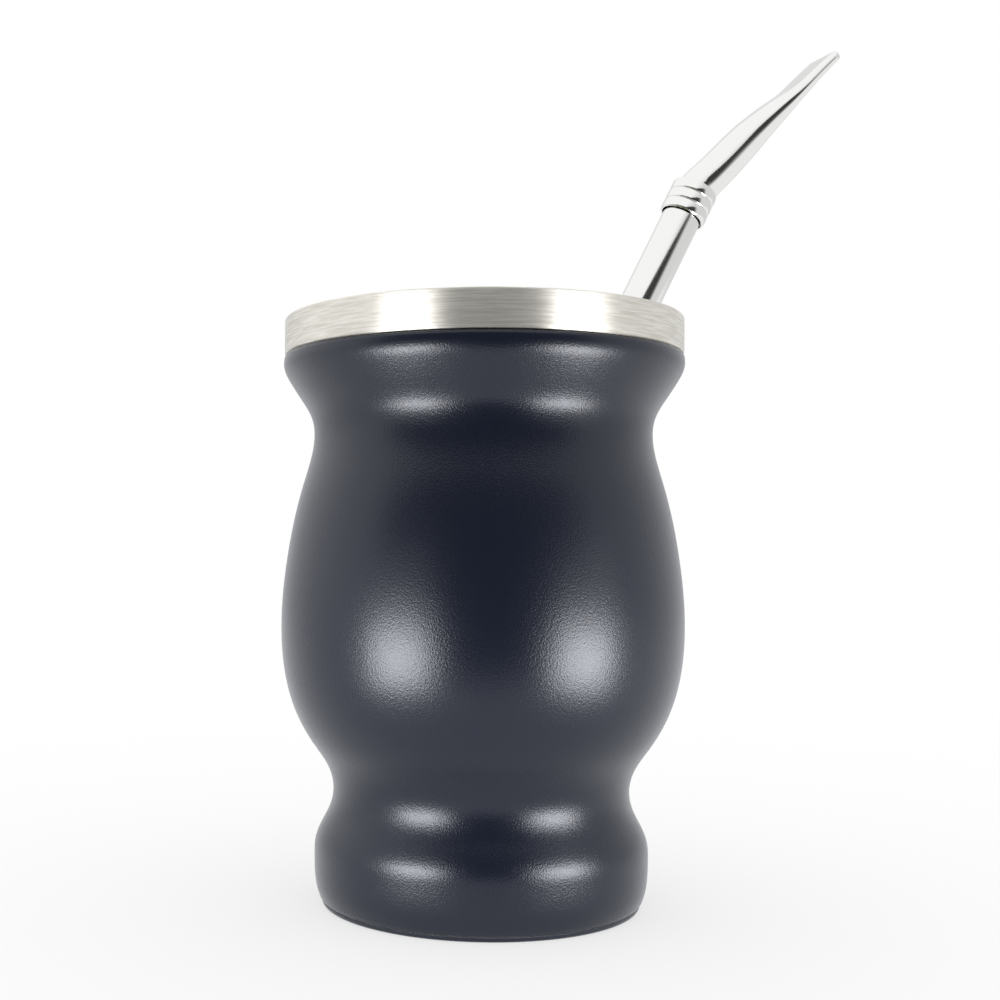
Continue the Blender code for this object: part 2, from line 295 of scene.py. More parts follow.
def make_body():
    outer = spline(BODY_STATIONS, BODY_STEPS)
    outer = [point for point in outer if SEAM_TOP + SEAM_EDGE < point[0] < COAT_TOP - COAT_EDGE]
    foot = rounding(SEAM_TOP + SEAM_EDGE, BODY_STATIONS[0][1] - SEAM_EDGE, SEAM_EDGE, -90, 0, 4)
    brim = rounding(COAT_TOP - COAT_EDGE, BODY_STATIONS[-1][1] - COAT_EDGE, COAT_EDGE, 0, 90)
    inner = offset(spline(LINER_STATIONS, LINER_STEPS), LINER_WALL + GAP)
    inner = [point for point in inner if point[0] < COAT_TOP - GAP]
    inner.insert(0, (COAT_TOP, inner[0][1]))
    inner[-1] = (inner[-1][0], 0.0)
    return turn("cup_body", [(SEAM_TOP, 0.0)] + foot + outer + brim + inner)


BASE_RADIUS = BODY_STATIONS[0][1] - 0.3 * MM
BASE_TOP = SEAM_TOP - GAP
BASE_EDGE = 0.7 * MM


def make_base():
    outline = [(0.0, 0.0)]
    outline += rounding(BASE_EDGE, BASE_RADIUS - BASE_EDGE, BASE_EDGE, -90, 0)
    outline += [(BASE_TOP, BASE_RADIUS), (BASE_TOP, 0.0)]
    return turn("base_disc", outline)


cup_body = dress(make_body(), "shell")
base_disc = dress(make_base(), "base_plate")

# %% [markdown]
# ## The bare rim and the liner
# The inner wall is one deep-drawn steel cup whose top is turned up into a straight band. The band's lower
# edge is broken by a small rounding that catches the light as a thin bright line, and its lip is rounded
# for the mouth. Inside, the wall follows the coat's curves at a distance, down to a dished floor.

# %% Liner with its band
BAND_RADIUS = 39.9 * MM
BAND_LOW = COAT_TOP + GAP
BAND_LOW_EDGE = 0.35 * MM
LIP_OUTER_EDGE = 0.6 * MM


def make_liner():
    inside = spline(LINER_STATIONS, LINER_STEPS)
    outside = [point for point in offset(inside, LINER_WALL) if point[0] < COAT_TOP - GAP]
    outside[-1] = (outside[-1][0], 0.0)
    outside.reverse()
    outside.append((BAND_LOW, outside[-1][1]))
    band = rounding(BAND_LOW + BAND_LOW_EDGE, BAND_RADIUS - BAND_LOW_EDGE, BAND_LOW_EDGE, -90, 0)
    band += rounding(RIM_TOP - LIP_OUTER_EDGE, BAND_RADIUS - LIP_OUTER_EDGE, LIP_OUTER_EDGE, 0, 90)
    band += rounding(RIM_TOP - LIP_INNER_EDGE, MOUTH_RADIUS + LIP_INNER_EDGE, LIP_INNER_EDGE, 90, 180)
    return turn("rim_liner", outside + band + inside[1:])


rim_liner = dress(make_liner(), "liner")

# %% [markdown]
# ## The straw
# The straw is two polished tubes joined by a sleeve of three rings. The lower one is straight and drawn.
# The upper one, the mouthpiece, is bent at the sleeve and pressed flatter and flatter towards its tip.
# Pressing doesn't change a tube's girth, so a section of a given thickness gets its width from that.
# All of it is made upright at the origin of its own frame and then laid along the real straw.

# %% Straw: frame, tube and collar
STRAW_AT_RIM = Vector((29.46 * MM, 13.91 * MM, 116.0 * MM))
STRAW_LEAN = math.radians(27.69)
STRAW_HEADING = math.radians(21.85)
BEND_TWIST = math.radians(-22.2)
TUBE_RADIUS = 4.1 * MM
TUBE_BORE = 3.65 * MM
TUBE_LOW_END = -108.8 * MM
TUBE_HIGH_END = 33.6 * MM
STRAW_SIDES = 64

COLLAR_LOW = 29.4 * MM
COLLAR_HIGH = 36.4 * MM
COLLAR_RADIUS = 4.95 * MM
COLLAR_BORE = 4.45 * MM
COLLAR_RINGS = 3
RING_EDGE = 0.32 * MM
RING_CROWN = 0.05 * MM


def straw_frame():
    """Z along the tube, X aside in the plane of the bend."""
    along = Vector((math.sin(STRAW_LEAN) * math.cos(STRAW_HEADING),
                    math.sin(STRAW_LEAN) * math.sin(STRAW_HEADING),
                    math.cos(STRAW_LEAN)))
    flat = Vector((math.cos(STRAW_HEADING), math.sin(STRAW_HEADING), 0.0))
    aside = (flat - along * flat.dot(along)).normalized()
    aside = Matrix.Rotation(BEND_TWIST, 3, along) @ aside
    turned = Matrix((aside, along.cross(aside), along)).transposed().to_4x4()
    return Matrix.Translation(STRAW_AT_RIM) @ turned


STRAW = straw_frame()
STRAW_AXIS = (STRAW.to_3x3() @ Vector((0, 0, 1))).normalized()


def make_tube():
    outline = [(TUBE_LOW_END, TUBE_BORE), (TUBE_LOW_END, TUBE_RADIUS),
               (TUBE_HIGH_END, TUBE_RADIUS), (TUBE_HIGH_END, TUBE_BORE), (TUBE_LOW_END, TUBE_BORE)]
    return turn("straw_tube", outline, STRAW_SIDES, STRAW)


def make_collar():
    """Three slightly crowned rings with rounded edges, so that a fine groove parts each pair."""
    pitch = (COLLAR_HIGH - COLLAR_LOW) / COLLAR_RINGS
    outline = [(COLLAR_LOW, COLLAR_BORE)]
    for ring in range(COLLAR_RINGS):
        low = COLLAR_LOW + ring * pitch
        high = low + pitch
        rim = COLLAR_RADIUS - RING_CROWN - RING_EDGE
        outline += rounding(low + RING_EDGE, rim, RING_EDGE, -80, 0, 5)
        outline.append(((low + high) / 2, COLLAR_RADIUS))
        outline += rounding(high - RING_EDGE, rim, RING_EDGE, 0, 80, 5)
    outline += [(COLLAR_HIGH, COLLAR_BORE), (COLLAR_LOW, COLLAR_BORE)]
    return turn("straw_collar", outline, STRAW_SIDES, STRAW)


straw_tube = dress(make_tube(), "bombilla_tube")
straw_collar = dress(make_collar(), "bombilla_collar")

# %% [markdown]
# ## The mouthpiece
# The upper tube bends away at the sleeve, and a press flattens its end into a slot for the lips. Its rings
# follow the bend, and each gets the thickness that the press left there and the width that goes with it.

# %% Straw: mouthpiece
MOUTH_STATIONS = (
    (TUBE_HIGH_END + GAP, 0.0, 8.1 * MM),
    (36.0 * MM, 0.10 * MM, 8.1 * MM),
    (37.8 * MM, 0.57 * MM, 8.1 * MM),
    (40.7 * MM, 1.60 * MM, 7.9 * MM),
    (51.6 * MM, 4.92 * MM, 7.0 * MM),
    (56.1 * MM, 6.37 * MM, 5.85 * MM),
    (60.3 * MM, 7.85 * MM, 4.6 * MM),
    (64.4 * MM, 9.32 * MM, 3.2 * MM),
    (70.6 * MM, 11.22 * MM, 2.4 * MM),
    (75.2 * MM, 12.77 * MM, 2.1 * MM),
)
MOUTH_WALL = 0.45 * MM
PRESS_TWIST = math.radians(20)
TIP_ROUNDING = 0.7 * MM
MOUTH_STEPS = 7
TIP_STEPS = 4
PRESS_ANGLE = math.radians(50)


def pressed_ring(centre, tangent, thickness, width):
    """Section of a pressed tube: two half circles and the flats between them."""
    twist = Matrix.Rotation(PRESS_TWIST, 3, tangent)
    side = twist @ Vector((tangent.z, 0.0, -tangent.x))
    wide_way = twist @ Vector((0.0, 1.0, 0.0))
    ring = []
    for step in range(STRAW_SIDES):
        angle = 2 * math.pi * (step + 0.5) / STRAW_SIDES
        end = math.copysign((width - thickness) / 2, math.sin(angle))
        across = end + math.sin(angle) * thickness / 2
        ring.append(centre + side * (math.cos(angle) * thickness / 2) + wide_way * across)
    return ring


def mouthpiece_rings():
    """The outer rings up to the tip, its rounding, and the inner rings back down."""
    line = spline(MOUTH_STATIONS, MOUTH_STEPS)
    centres = [Vector((aside, 0.0, along)) for along, aside, _ in line]
    girth = math.pi * MOUTH_STATIONS[0][2]
    outer, inner = [], []
    for row, centre in enumerate(centres):
        ahead = centres[min(row + 1, len(centres) - 1)]
        behind = centres[max(row - 1, 0)]
        tangent = (ahead - behind).normalized() if row else Vector((0, 0, 1))
        thick = line[row][2]
        wide = (girth - math.pi * thick) / 2 + thick
        outer.append(pressed_ring(centre, tangent, thick, wide))
        inner.append(pressed_ring(centre, tangent, thick - 2 * MOUTH_WALL, wide - 2 * MOUTH_WALL))
    tip = []
    for step in range(1, TIP_STEPS + 1):
        angle = math.radians(90) * step / TIP_STEPS
        rise = TIP_ROUNDING * math.sin(angle)
        wall_in = MOUTH_WALL * (1 - math.cos(angle))
        width_in = (MOUTH_WALL + TIP_ROUNDING) * (1 - math.cos(angle))
        tip.append(pressed_ring(centre + tangent * rise, tangent, thick - wall_in, wide - width_in))
    return outer + tip + list(reversed(inner))


def make_mouthpiece():
    """Extrude a circle ring by ring, and set each new ring to the section that belongs there."""
    rings = mouthpiece_rings()
    pick_nothing()
    bpy.ops.mesh.primitive_circle_add(vertices=STRAW_SIDES, radius=TUBE_RADIUS)
    piece = bpy.context.object
    piece.name = piece.data.name = "straw_mouthpiece"
    bpy.ops.object.mode_set(mode="EDIT")
    bpy.ops.mesh.select_all(action="SELECT")
    for _ in rings[1:]:
        bpy.ops.mesh.extrude_region_move(TRANSFORM_OT_translate={"value": (0, 0, MM)})
    bpy.ops.object.mode_set(mode="OBJECT")
    places = [point for ring in rings for point in ring]
    piece.data.vertices.foreach_set("co", np.array(places).ravel())
    piece.data.update()
    shape = bmesh.new()
    shape.from_mesh(piece.data)
    shape.verts.ensure_lookup_table()
    first = shape.verts[:STRAW_SIDES]
    last = shape.verts[-STRAW_SIDES:]
    for i in range(STRAW_SIDES):
        j = (i + 1) % STRAW_SIDES
        shape.faces.new((first[i], first[j], last[j], last[i]))
    bmesh.ops.recalc_face_normals(shape, faces=shape.faces[:])
    shape.to_mesh(piece.data)
    shape.free()
    pick(piece)
    bpy.ops.object.shade_smooth_by_angle(angle=PRESS_ANGLE)
    wrap_map(piece)
    piece.data.transform(STRAW)
    return piece


straw_mouthpiece = dress(make_mouthpiece(), "bombilla_mouthpiece")

# %% [markdown]
# ## The leaf
# Cut mate leaf is packed to one side, as a drinker leaves it: a dry mound against the far wall from the
# straw, sloping down under the water. The bed is one solid out to its surface, with bumps as large as the
# leaf's pieces. Its outer wall follows the liner. The loose pieces that show are laid over it afterwards:
# shards of leaf, pale stems and dust, each of them a real small solid of its true size.

# %% Leaf bed
INFUSION_LEVEL = 103.5 * MM
MOUND_TOP = 109.5 * MM
POOL_FLOOR = 93.5 * MM
BED_FLOOR = 16.2 * MM
MOUND_CENTRE_X = -55.0 * MM
SLOPE_FOOT = 71.0 * MM
SLOPE_LENGTH = 42.0 * MM
LEAF_BUMP = 0.9 * MM
LEAF_BUMP_SPACING = 2.6 * MM
LEAF_SINK = 0.2 * MM
BED_RINGS = 46
BED_SIDE_ROWS = 40
BED_SIDES = 128


def bed_height(x, y):
    """Smooth height of the leaf bed: a mound at low x that runs down to the pool's floor."""
    reach = math.hypot(x - MOUND_CENTRE_X, y)
    share = min(max((SLOPE_FOOT - reach) / SLOPE_LENGTH, 0.0), 1.0)
    rise = share * share * (3 - 2 * share)
    return POOL_FLOOR + (MOUND_TOP - POOL_FLOOR) * rise


WALL = np.array(spline(LINER_STATIONS, LINER_STEPS))[::-1]


def wall_radius(height):
    """Inner radius of the liner at a height."""
    return float(np.interp(height, WALL[:, 0], WALL[:, 1]))


def leaf_height(x, y):
    """The bed with bumps of two sizes."""
    place = Vector((x, y, 0.0))
    coarse = noise.noise(place / LEAF_BUMP_SPACING)
    fine = noise.noise(place * 3 / LEAF_BUMP_SPACING)
    return bed_height(x, y) + LEAF_BUMP * (0.6 * coarse + 0.3 * fine)


def make_leaf_bed():
    """Turn a plain block, then move its rings out to the wall and up to the bed's surface."""
    top = [(MOUND_TOP, share) for share in np.linspace(0.0, 1.0, BED_RINGS + 1)]
    side = [(MOUND_TOP - share, 1.0) for share in np.linspace(0.0, 1.0, BED_SIDE_ROWS + 1)[1:]]
    bed = turn("leaf_bed", top + side + [(MOUND_TOP - 1.0, 0.0)], BED_SIDES)
    for vert in bed.data.vertices:
        x, y, z = vert.co
        share, drop = min(math.hypot(x, y), 1.0), MOUND_TOP - z
        angle = math.atan2(y, x)
        radius = wall_radius(INFUSION_LEVEL)
        for _ in range(3):
            edge = bed_height(radius * math.cos(angle), radius * math.sin(angle))
            radius = wall_radius(edge)
        if drop < MERGE:
            radius = share * (radius + LEAF_SINK)
            height = leaf_height(radius * math.cos(angle), radius * math.sin(angle))
        else:
            height = edge + (BED_FLOOR - edge) * drop
            radius = share * (wall_radius(height) + LEAF_SINK)
        vert.co = (radius * math.cos(angle), radius * math.sin(angle), height)
    pick(bed)
    bpy.ops.object.shade_smooth()
    return bed


leaf_bed = dress(make_leaf_bed(), "yerba")

# %% [markdown]
# ## Scattered pieces
# Thousands of shards, stems and grains would be slow to make one by one, so each kind is built as arrays
# of points and faces and becomes one joined mesh. A seeded random generator places them on the bed.
# Every shard keeps a number between 0 and 1, its tint, which its finish turns into a colour.

# %% Shards, stems and dust
SCATTER_SEED = 7
SHARD_COUNT = 3000
SHARD_SIDES = 6
SHARD_LENGTH = 2.2 * MM
SHARD_THICKNESS = (0.10, 0.20)
STEM_COUNT = 85
STEM_SIDES = 8
STEM_HALF_LENGTH = (1.6, 5.2)
STEM_RADIUS = (0.32, 0.68)
DUST_COUNT = 5200
DUST_RADIUS = (0.10, 0.26)
WALL_ROOM = 0.1 * MM
DUST_WALL_ROOM = 0.4 * MM
STRAW_ROOM = 4.6 * MM


def straw_distance(x, y, z):
    """Distance from the tube's axis."""
    away = Vector((x, y, z)) - STRAW_AT_RIM
    return (away - STRAW_AXIS * away.dot(STRAW_AXIS)).length


def bed_spot(rng, lowest, room):
    """A random spot on the bed that is higher than a level and clear of the straw, and the slope there."""
    while True:
        radius = wall_radius(INFUSION_LEVEL) * math.sqrt(rng.uniform())
        angle = rng.uniform(0, 2 * math.pi)
        x, y = radius * math.cos(angle), radius * math.sin(angle)
        z = leaf_height(x, y)
        if z > lowest and straw_distance(x, y, z) > STRAW_ROOM + room:
            break
    step = 0.5 * MM
    across = Vector((2 * step, 0, leaf_height(x + step, y) - leaf_height(x - step, y)))
    along = Vector((0, 2 * step, leaf_height(x, y + step) - leaf_height(x, y - step)))
    return Vector((x, y, z)), across.cross(along).normalized()


def inside_liner(points, spare):
    """True if every point is clear of the liner's wall."""
    return all(math.hypot(p[0], p[1]) < wall_radius(p[2]) - spare for p in points)


def lying(rng, up, tilt):
    """Axes of a flat thing that lies on a slope, turned at random and tilted a little."""
    heading = Vector((rng.normal(), rng.normal(), rng.normal()))
    up = (up + tilt * Vector((rng.normal(), rng.normal(), rng.normal()))).normalized()
    along = (heading - up * heading.dot(up)).normalized()
    return along, up.cross(along), up


def joined(name, points, faces, tints):
    """One mesh from all the points and faces of a kind, with a tint on each face."""
    mesh = bpy.data.meshes.new(name)
    mesh.from_pydata(points, [], faces)
    layer = mesh.attributes.new("tint", "FLOAT", "FACE")
    layer.data.foreach_set("value", tints)
    mesh.update()
    piece = bpy.data.objects.new(name, mesh)
    bpy.context.scene.collection.objects.link(piece)
    return piece


def prism_faces(base, sides):
    """Faces of a prism whose lower and upper rings of points start at base."""
    rows = [tuple(base + i for i in reversed(range(sides))), tuple(base + sides + i for i in range(sides))]
    for i in range(sides):
        j = (i + 1) % sides
        rows.append((base + i, base + j, base + sides + j, base + sides + i))
    return rows


def make_shards():
    rng = np.random.default_rng(SCATTER_SEED)
    points, faces, tints = [], [], []
    while len(tints) < SHARD_COUNT * (SHARD_SIDES + 2):
        spot, up = bed_spot(rng, INFUSION_LEVEL - 1.2 * MM, 0.0)
        along, across, up = lying(rng, up, 0.35)
        length = rng.uniform(0.5, 1.0) ** 1.5 * SHARD_LENGTH
        width = length * rng.uniform(0.3, 0.75)
        thick = rng.uniform(*SHARD_THICKNESS) * MM
        curl = rng.uniform(-0.25, 0.25)
        lift = rng.uniform(-0.1, 0.5) * MM
        ring = []
        for i in range(SHARD_SIDES):
            angle = 2 * math.pi * (i + rng.uniform(-0.3, 0.3)) / SHARD_SIDES
            u, v = length * math.cos(angle) * rng.uniform(0.75, 1.0), width * math.sin(angle)
            ring.append(spot + along * u + across * v + up * (lift + curl * u * u / length))
        shard = ring + [point + up * thick for point in ring]
        if not inside_liner(shard, WALL_ROOM):
            continue
        faces += prism_faces(len(points), SHARD_SIDES)
        points += [tuple(point) for point in shard]
        tints += [rng.uniform()] * (SHARD_SIDES + 2)
    return joined("leaf_shards", points, faces, tints)


def make_stems():
    rng = np.random.default_rng(SCATTER_SEED + 1)
    points, faces, tints = [], [], []
    made = 0
    while made < STEM_COUNT:
        spot, up = bed_spot(rng, INFUSION_LEVEL, 0.5 * MM)
        along, across, up = lying(rng, up, 0.12)
        length = rng.uniform(*STEM_HALF_LENGTH) * MM
        thick = rng.uniform(*STEM_RADIUS) * MM
        bow = rng.uniform(-0.06, 0.06)
        rings = []
        for row in (-1.0, -0.33, 0.33, 1.0):
            middle = spot + along * length * row + across * bow * length * row * row + up * thick * 0.8
            size = thick * rng.uniform(0.88, 1.0)
            rings += [middle + (across * math.cos(turn_by) + up * math.sin(turn_by)) * size
                      for turn_by in np.arange(STEM_SIDES) * 2 * math.pi / STEM_SIDES]
        near = min(straw_distance(*point) for point in rings)
        if near < STRAW_ROOM or not inside_liner(rings, WALL_ROOM):
            continue
        base = len(points)
        rows = [tuple(base + i for i in range(STEM_SIDES)),
                tuple(base + 3 * STEM_SIDES + i for i in reversed(range(STEM_SIDES)))]
        for row in range(3):
            for i in range(STEM_SIDES):
                j = (i + 1) % STEM_SIDES
                low = base + row * STEM_SIDES
                rows.append((low + j, low + i, low + STEM_SIDES + i, low + STEM_SIDES + j))
        faces += rows
        points += [tuple(point) for point in rings]
        tints += [rng.uniform()] * len(rows)
        made += 1
    return joined("leaf_stems", points, faces, tints)


def make_dust():
    rng = np.random.default_rng(SCATTER_SEED + 2)
    points, faces, tints = [], [], []
    corners = [Vector(c) for c in ((1, 0, 0), (0, 1, 0), (-1, 0, 0), (0, -1, 0), (0, 0, 1), (0, 0, -1))]
    for _ in range(DUST_COUNT):
        spot, up = bed_spot(rng, INFUSION_LEVEL - 0.3 * MM, 0.0)
        size = rng.uniform(*DUST_RADIUS) * MM
        spot = spot + up * rng.uniform(0.0, 0.5) * MM
        if math.hypot(spot.x, spot.y) > wall_radius(spot.z) - DUST_WALL_ROOM:
            continue
        base = len(points)
        points += [tuple(spot + corner * size * rng.uniform(0.6, 1.0)) for corner in corners]
        for i in range(4):
            j = (i + 1) % 4
            faces += [(base + i, base + j, base + 4), (base + j, base + i, base + 5)]
        tints += [rng.uniform()] * 8
    return joined("leaf_dust", points, faces, tints)


leaf_shards = dress(make_shards(), None)
leaf_stems = dress(make_stems(), None)
leaf_dust = dress(make_dust(), None)

# %% [markdown]
# ## The drink
# The infusion fills what the leaf leaves free: a wedge between its level, the liner and the sloping bed.
# It is turned like the rest, with its edge drawn a little up the wall, because water wets steel, and the
# bed is then cut out of it with a Boolean. Froth gathers where the water meets the leaf and the straw.

# %% Infusion
WEDGE_LOW = 88.5 * MM
WETTING = 0.45 * MM
WETTING_REACH = 1.6 * MM
DRINK_SINK = 0.6 * MM
BLOCK_LOW = 50.0 * MM
BLOCK_SIZE = 90.0 * MM
BLOCK_CELLS = 90
SHORE_ANGLE = math.radians(30)


def cut_away(thing, cutter):
    """Take the cutter's volume out of a piece, then remove the cutter."""
    pick(thing)
    modifier = thing.modifiers.new("cut", "BOOLEAN")
    modifier.operation = "DIFFERENCE"
    modifier.solver = "EXACT"
    modifier.object = cutter
    bpy.ops.object.modifier_apply(modifier=modifier.name)
    bpy.data.objects.remove(cutter, do_unlink=True)


def bed_block():
    """A block whose top is the leaf's surface, a little lowered."""
    pick_nothing()
    bpy.ops.mesh.primitive_grid_add(x_subdivisions=BLOCK_CELLS, y_subdivisions=BLOCK_CELLS, size=BLOCK_SIZE)
    block = bpy.context.object
    bpy.ops.object.mode_set(mode="EDIT")
    bpy.ops.mesh.select_all(action="SELECT")
    bpy.ops.mesh.extrude_region_move(TRANSFORM_OT_translate={"value": (0, 0, BLOCK_LOW)})
    bpy.ops.mesh.select_all(action="SELECT")
    bpy.ops.mesh.normals_make_consistent(inside=False)
    bpy.ops.object.mode_set(mode="OBJECT")
    for vert in block.data.vertices:
        if vert.co.z > BLOCK_LOW / 2:
            vert.co.z = leaf_height(vert.co.x, vert.co.y) - DRINK_SINK
    return block


def make_drink():
    inside = [(z, wall_radius(z) + LEAF_SINK) for z in np.linspace(WEDGE_LOW, INFUSION_LEVEL + WETTING, 12)]
    edge = wall_radius(INFUSION_LEVEL)
    wetted = []
    for away in np.linspace(0.0, WETTING_REACH, 8)[1:]:
        wetted.append((INFUSION_LEVEL + WETTING * (1 - away / WETTING_REACH) ** 3, edge - away))
    rings = [(INFUSION_LEVEL, radius) for radius in np.linspace(edge - WETTING_REACH, 0.0, 24)[1:]]
    drink = turn("infusion_pool", [(WEDGE_LOW, 0.0)] + inside + wetted + rings)
    cut_away(drink, bed_block())
    pick(drink)
    bpy.ops.object.shade_smooth_by_angle(angle=SHORE_ANGLE)
    return drink


infusion_pool = dress(make_drink(), "infusion")

# %% [markdown]
# ## Froth
# Pouring leaves small bubbles that float half sunk and gather along an edge. There are hundreds of them, so
# each is a ball of 40 faces, and its chance of staying falls with its distance from leaf, straw and wall.

# %% Froth
FROTH_SEED = 19
FROTH_COUNT = 620
FROTH_TRIES = 60000
FROTH_EDGE = 2.4 * MM
WALL_EDGE = 1.0 * MM
BUBBLE_SMALLEST = 0.18 * MM
BUBBLE_SPREAD = 0.75 * MM
BUBBLE_SINK = 0.15


def make_froth():
    """Half-sunk bubbles, most of them small, crowded along the shore and round the straw."""
    rng = np.random.default_rng(FROTH_SEED)
    pick_nothing()
    bpy.ops.mesh.primitive_uv_sphere_add(segments=8, ring_count=5, radius=1.0)
    pattern = bpy.context.object
    balls = np.array([tuple(vert.co) for vert in pattern.data.vertices])
    sides = [tuple(face.vertices) for face in pattern.data.polygons]
    bpy.data.objects.remove(pattern, do_unlink=True)
    points, faces, tints, placed = [], [], [], []
    edge = wall_radius(INFUSION_LEVEL)
    tries = 0
    while len(placed) < FROTH_COUNT and tries < FROTH_TRIES:
        tries += 1
        radius = edge * math.sqrt(rng.uniform())
        angle = rng.uniform(0, 2 * math.pi)
        x, y = radius * math.cos(angle), radius * math.sin(angle)
        size = BUBBLE_SMALLEST + BUBBLE_SPREAD * rng.uniform() ** 4
        depth = INFUSION_LEVEL - leaf_height(x, y)
        from_straw = straw_distance(x, y, INFUSION_LEVEL) - TUBE_RADIUS
        from_wall = edge - radius
        if depth < 0 or from_straw < size or from_wall < size:
            continue
        crowd = (math.exp(-depth / FROTH_EDGE) + 0.8 * math.exp(-from_straw / FROTH_EDGE)
                 + 0.35 * math.exp(-from_wall / WALL_EDGE) + 0.012)
        if rng.uniform() > crowd:
            continue
        if any(math.hypot(x - px, y - py) < 0.85 * (size + ps) for px, py, ps in placed):
            continue
        placed.append((x, y, size))
        base = len(points)
        points += [tuple(p) for p in balls * size + np.array([x, y, INFUSION_LEVEL - BUBBLE_SINK * size])]
        faces += [tuple(base + i for i in side) for side in sides]
        tints += [rng.uniform()] * len(sides)
    froth = joined("froth", points, faces, tints)
    pick(froth)
    bpy.ops.object.shade_smooth()
    return froth


froth = dress(make_froth(), None)

# %% [markdown]
# ## Finishes
# Each finish is a small tree of nodes. Two helpers keep them short: one turns an sRGB hex colour into
# the linear values that a shader needs, and one adds a node with its settings and its inputs.

# %% Colour and node helpers
def linear(code):
    """An sRGB hex colour such as 2D323E as linear red, green, blue and an alpha of 1."""
    values = [int(code[i:i + 2], 16) / 255 for i in (0, 2, 4)]
    return tuple(v / 12.92 if v <= 0.04045 else ((v + 0.055) / 1.055) ** 2.4 for v in values) + (1.0,)


def add(tree, kind, inputs=None, **settings):
    """Add a node: settings are its properties; inputs are values, or sockets of other nodes to link."""
    node = tree.nodes.new(kind)
    for name, value in settings.items():
        setattr(node, name, value)
    for socket, value in (inputs or {}).items():
        if isinstance(value, bpy.types.NodeSocket):
            tree.links.new(value, node.inputs[socket])
        else:
            node.inputs[socket].default_value = value
    return node


def new_finish(name):
    """A material without nodes; returns it and its node tree."""
    material = bpy.data.materials.new(name)
    material.use_nodes = True
    tree = material.node_tree
    tree.nodes.clear()
    return material, tree


def output(tree, shader):
    add(tree, "ShaderNodeOutputMaterial", {"Surface": shader.outputs["BSDF"]})


def wear(piece, material):
    piece.data.materials.clear()
    piece.data.materials.append(material)


# %% [markdown]
# ## Powder coat
# The body of the real cup is sprayed with charged polyester powder and baked, so the colour is one even
# skin over the steel. The tree is one noise into a bump, because the grit is what the highlights show, and
# a little sheen lifts the coat where it turns away.

# %% Powder coat
# Polyester powder coat with a fine texture: sprayed as dry powder and baked until it runs together. It
# gives the eye a near-black blue with soft highlights that break up into grit. Real grit is 0.1 to 0.2 mm,
# and it is drawn coarser than real, at 0.34 mm, so that it shows in a picture of the whole cup.
GRIT = 0.34 * MM
GRIT_DEPTH = 0.05 * MM


def powder_coat():
    material, tree = new_finish("polyester_powder_coat_fine_texture")
    place = add(tree, "ShaderNodeTexCoord")
    grain = add(tree, "ShaderNodeTexNoise", {"Vector": place.outputs["Object"], "Scale": 1 / GRIT,
                                             "Detail": 2.0, "Roughness": 0.6})
    bump = add(tree, "ShaderNodeBump", {"Height": grain.outputs["Fac"], "Strength": 1.0,
                                        "Distance": GRIT_DEPTH})
    shader = add(tree, "ShaderNodeBsdfPrincipled", {
        "Base Color": linear("080D1A"), "Roughness": 0.28, "Specular Tint": linear("F6F9FF"),
        "Sheen Weight": 0.26, "Sheen Roughness": 0.30, "Sheen Tint": linear("F2F6FF"),
        "Normal": bump.outputs["Normal"]})
    output(tree, shader)
    return material


coat = powder_coat()
wear(cup_body, coat)
wear(base_disc, coat)
print("coat:", coat.name, "with grit of", GRIT / MM, "mm")

# %% [markdown]
# ## Steel
# The band and the inner cup are one piece of stainless steel. It turns on a lathe against an abrasive belt,
# so its lines run round it. A noise stretched along the turning makes the lines, and an anisotropic shader
# spreads the light across them. The straw is buffed instead, so it needs no pattern at all.

# %% Steel
# Brushed stainless steel, of the grade called 18/8: the belt leaves fine lines round the band, which give
# the eye soft upright bars of light. Real lines are about 0.05 mm apart, and they are drawn coarser than
# real, at 0.28 mm, so that they show in a picture of the whole cup.
# Polished stainless steel: buffed on a felt wheel, it mirrors the room as narrow stripes along the tube.
BRUSH_LENGTH = 7.0 * MM
BRUSH_PITCH = 0.28 * MM
BRUSH_DEPTH = 0.04 * MM
BRUSH_CONTRAST = (0.38, 0.62)


def brushed_steel():
    material, tree = new_finish("stainless_steel_brushed_round")
    place = add(tree, "ShaderNodeTexCoord")
    stretch = add(tree, "ShaderNodeVectorMath",
                  {0: place.outputs["Object"], 1: (1 / BRUSH_LENGTH, 1 / BRUSH_LENGTH, 1 / BRUSH_PITCH)},
                  operation="MULTIPLY")
    strokes = add(tree, "ShaderNodeTexNoise", {"Vector": stretch.outputs["Vector"], "Scale": 1.0,
                                               "Detail": 3.0, "Roughness": 0.6})
    bump = add(tree, "ShaderNodeBump", {"Height": strokes.outputs["Fac"], "Strength": 1.0,
                                        "Distance": BRUSH_DEPTH})
    shade = add(tree, "ShaderNodeMapRange", {
        "Value": strokes.outputs["Fac"], "From Min": BRUSH_CONTRAST[0], "From Max": BRUSH_CONTRAST[1]})
    colour = add(tree, "ShaderNodeMix", {"Factor": shade.outputs["Result"], "A": linear("E3DFD6"),
                                         "B": linear("FAF8F1")}, data_type="RGBA")
    around = add(tree, "ShaderNodeTangent", direction_type="UV_MAP", uv_map="turning")
    shader = add(tree, "ShaderNodeBsdfPrincipled", {
        "Base Color": colour.outputs["Result"], "Metallic": 1.0, "Roughness": 0.46,
        "Anisotropic": 1.0, "Anisotropic Rotation": 0.25,
        "Normal": bump.outputs["Normal"], "Tangent": around.outputs["Tangent"]})
    output(tree, shader)
    return material


def polished_steel():
    material, tree = new_finish("stainless_steel_polished")
    shader = add(tree, "ShaderNodeBsdfPrincipled", {"Base Color": linear("E6E6E4"), "Metallic": 1.0,
                                                    "Roughness": 0.10})
    output(tree, shader)
    return material


